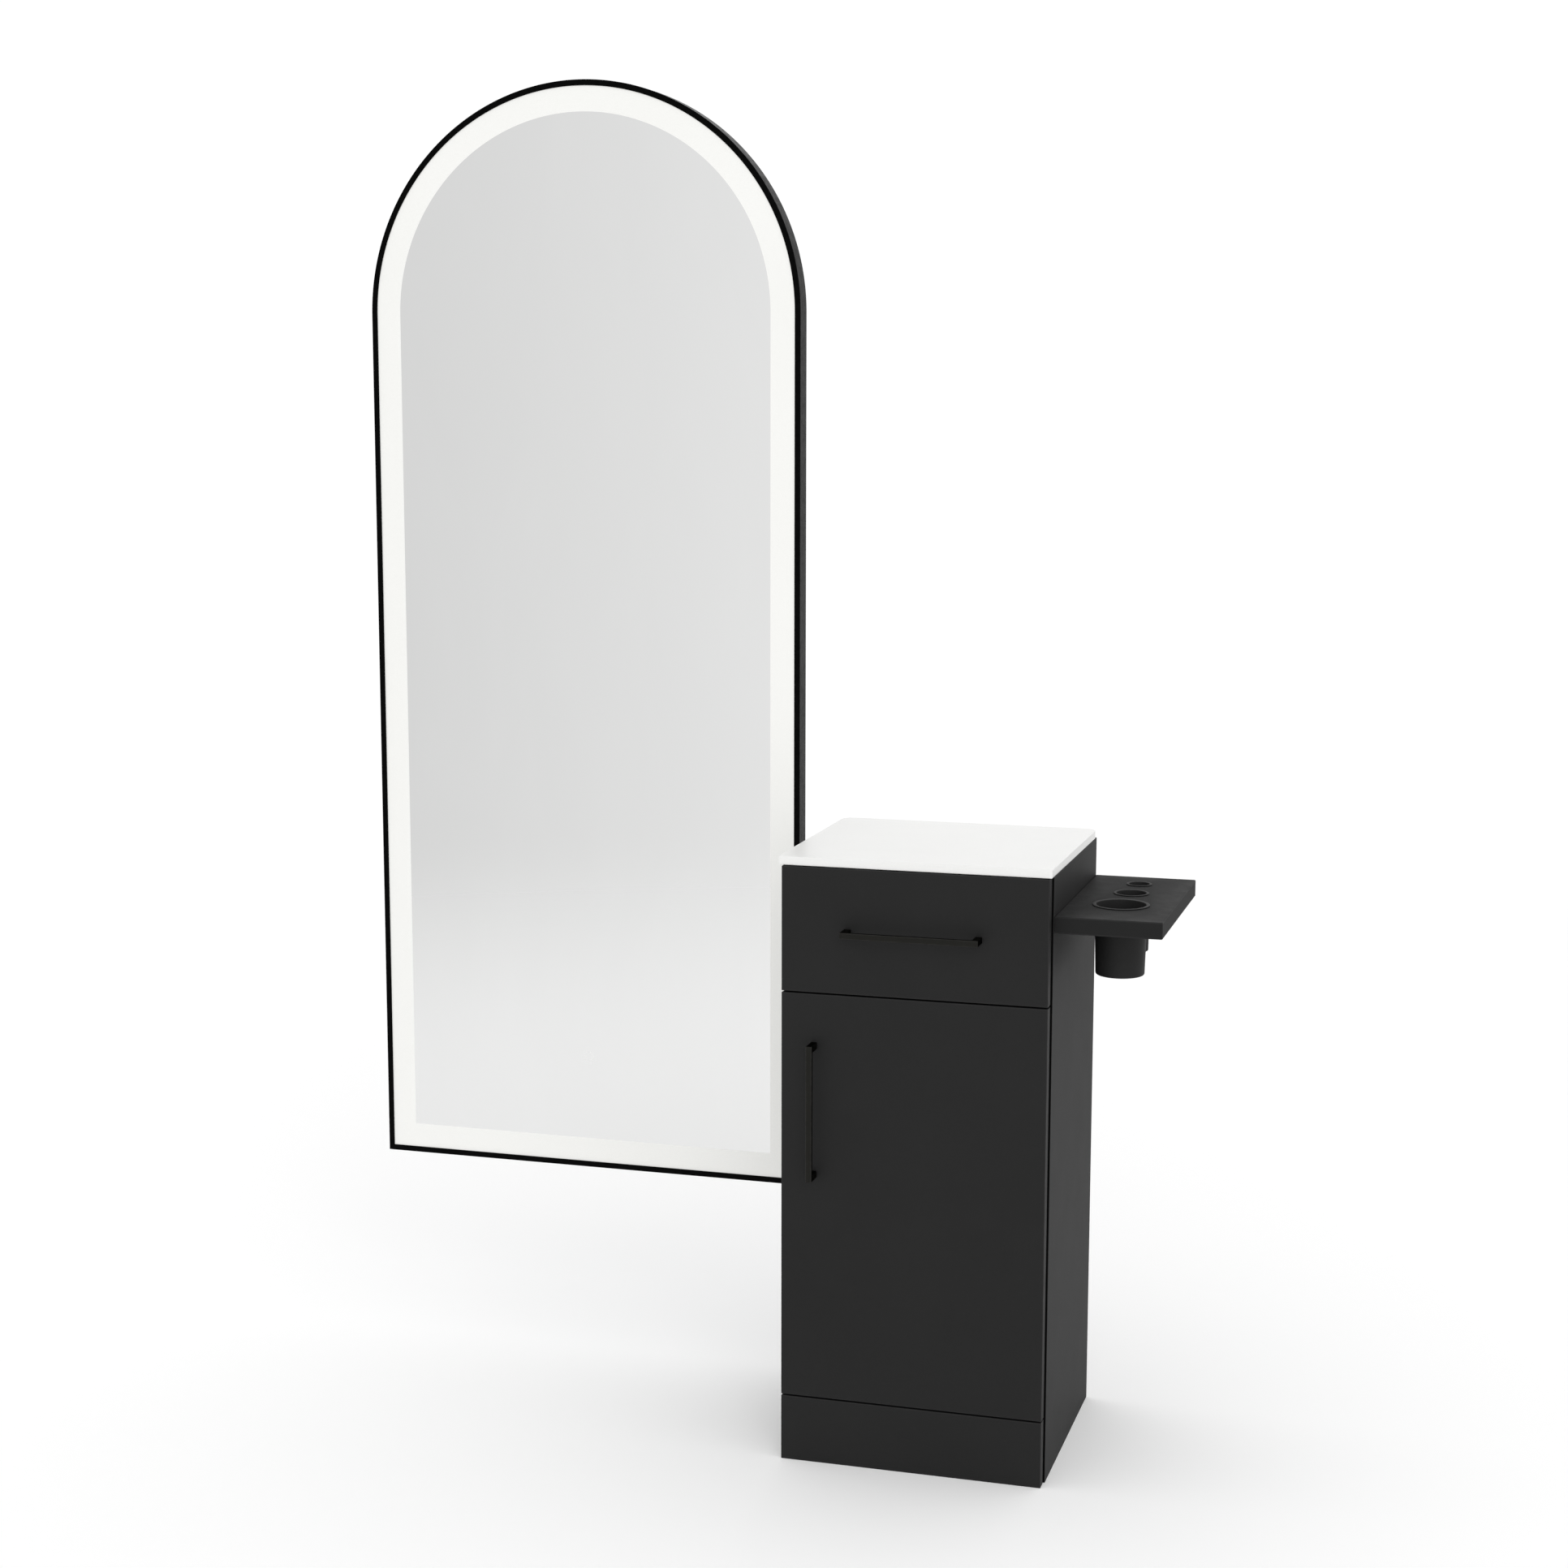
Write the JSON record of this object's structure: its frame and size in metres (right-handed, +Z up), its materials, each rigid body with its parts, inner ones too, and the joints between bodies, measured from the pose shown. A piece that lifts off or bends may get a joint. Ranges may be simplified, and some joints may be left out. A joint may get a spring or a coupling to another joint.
{
  "type": "salon styling station",
  "caption": "Salon styling station: arched wall mirror with a light band, and a narrow cabinet with drawer, hinged door, stone top and a side shelf with tool cups.",
  "frame": {"origin": "middle of the footprint (bounding box) at floor level", "axes": "+X to the right for a person standing in front, +Y towards the wall, +Z up"},
  "size_m": [1.3614, 0.4102, 2.0973],
  "materials": {
    "front_laminate": "matte charcoal laminate on board",
    "case_laminate": "matte dark grey laminate on board",
    "inner_laminate": "matte grey melamine on board",
    "white_stone": "honed white composite stone",
    "pull_black": "satin black",
    "zinc_steel": "bright zinc plate",
    "cup_plastic": "fine spark texture",
    "frame_black": "satin black anodised look",
    "mirror_glass": "silvered glass with an etched band",
    "aluminium": "mill finish",
    "led_strip": "light strip",
    "white_plastic": "moulded",
    "dark_plastic": "moulded"
  },
  "bodies": {
    "root": {"side_panel_left": "case_laminate", "side_panel_right": "case_laminate", "bottom_panel": "inner_laminate", "divider_panel": "inner_laminate", "top_rail_front": "inner_laminate", "wall_rail": "inner_laminate", "back_panel": "inner_laminate", "adjustable_shelf": "inner_laminate", "shelf_pin_front_left": "zinc_steel", "shelf_pin_front_right": "zinc_steel", "shelf_pin_back_left": "zinc_steel", "shelf_pin_back_right": "zinc_steel", "plinth_panel": "front_laminate", "plinth_bracket_left": "zinc_steel", "plinth_bracket_right": "zinc_steel", "countertop": "white_stone", "slide_case_member_left": "zinc_steel", "slide_case_member_right": "zinc_steel", "hinge_arm_lower": "zinc_steel", "hinge_plate_lower": "zinc_steel", "hinge_arm_upper": "zinc_steel", "hinge_plate_upper": "zinc_steel", "tool_shelf": "case_laminate", "tool_shelf_bolt_front": "zinc_steel", "tool_shelf_bolt_back": "zinc_steel", "mirror_frame_arch": "frame_black", "mirror_frame_bottom": "frame_black", "mirror_glass": "mirror_glass", "mirror_back_plate": "aluminium", "led_strip": "led_strip", "led_driver": "white_plastic", "touch_switch": "dark_plastic", "cable_grommet": "dark_plastic", "mirror_hanger": "aluminium", "wall_cleat": "aluminium"},
    "drawer": {"drawer_front": "front_laminate", "drawer_inner_front": "inner_laminate", "drawer_side_left": "inner_laminate", "drawer_side_right": "inner_laminate", "drawer_back": "inner_laminate", "drawer_bottom": "inner_laminate", "slide_drawer_member_left": "zinc_steel", "slide_drawer_member_right": "zinc_steel", "drawer_pull": "pull_black", "drawer_pull_screw_left": "zinc_steel", "drawer_pull_screw_right": "zinc_steel"},
    "slide_middle_left": {"slide_middle_member_left": "zinc_steel"},
    "slide_middle_right": {"slide_middle_member_right": "zinc_steel"},
    "door": {"door_pull": "pull_black", "door_pull_screw_lower": "zinc_steel", "door_pull_screw_upper": "zinc_steel", "door_panel": "front_laminate", "hinge_cup_lower": "zinc_steel", "hinge_cup_upper": "zinc_steel"},
    "hinge_link_upper": {"hinge_link_upper": "zinc_steel"},
    "hinge_link_lower": {"hinge_link_lower": "zinc_steel"},
    "cup_large": {"tool_cup_large": "cup_plastic"},
    "cup_medium": {"tool_cup_medium": "cup_plastic"},
    "cup_small": {"tool_cup_small": "cup_plastic"}
  },
  "joints": [
    {"name": "drawer_slide", "type": "slide", "parent": "root", "child": "drawer", "axis": [0, -1, 0], "range_m": [0, 0.3]},
    {"name": "slide_middle_left_travel", "type": "slide", "parent": "root", "child": "slide_middle_left", "axis": [0, -1, 0], "range_m": [0, 0.15]},
    {"name": "slide_middle_right_travel", "type": "slide", "parent": "root", "child": "slide_middle_right", "axis": [0, -1, 0], "range_m": [0, 0.15]},
    {"name": "door_swing", "type": "hinge", "parent": "root", "child": "door", "pos_m": [0.5142, -0.16535, 0.4152], "axis": [0, 0, 1], "range_deg": [0, 110]},
    {"name": "hinge_link_upper_swing", "type": "hinge", "parent": "root", "child": "hinge_link_upper", "pos_m": [0.5027, -0.15585, 0.625], "axis": [0, 0, 1], "range_deg": [0, 88]},
    {"name": "hinge_link_lower_swing", "type": "hinge", "parent": "root", "child": "hinge_link_lower", "pos_m": [0.5027, -0.15585, 0.205], "axis": [0, 0, 1], "range_deg": [0, 88]},
    {"name": "cup_large_lift", "type": "slide", "parent": "root", "child": "cup_large", "axis": [0, 0, 1], "range_m": [0, 0.11]},
    {"name": "cup_medium_lift", "type": "slide", "parent": "root", "child": "cup_medium", "axis": [0, 0, 1], "range_m": [0, 0.11]},
    {"name": "cup_small_lift", "type": "slide", "parent": "root", "child": "cup_small", "axis": [0, 0, 1], "range_m": [0, 0.11]}
  ],
  "couplings": [
    {"joint": "slide_middle_left_travel", "follows": "drawer_slide", "ratio": 0.5},
    {"joint": "slide_middle_right_travel", "follows": "drawer_slide", "ratio": 0.5},
    {"joint": "hinge_link_upper_swing", "follows": "door_swing", "ratio": 0.8},
    {"joint": "hinge_link_lower_swing", "follows": "door_swing", "ratio": 0.8}
  ]
}
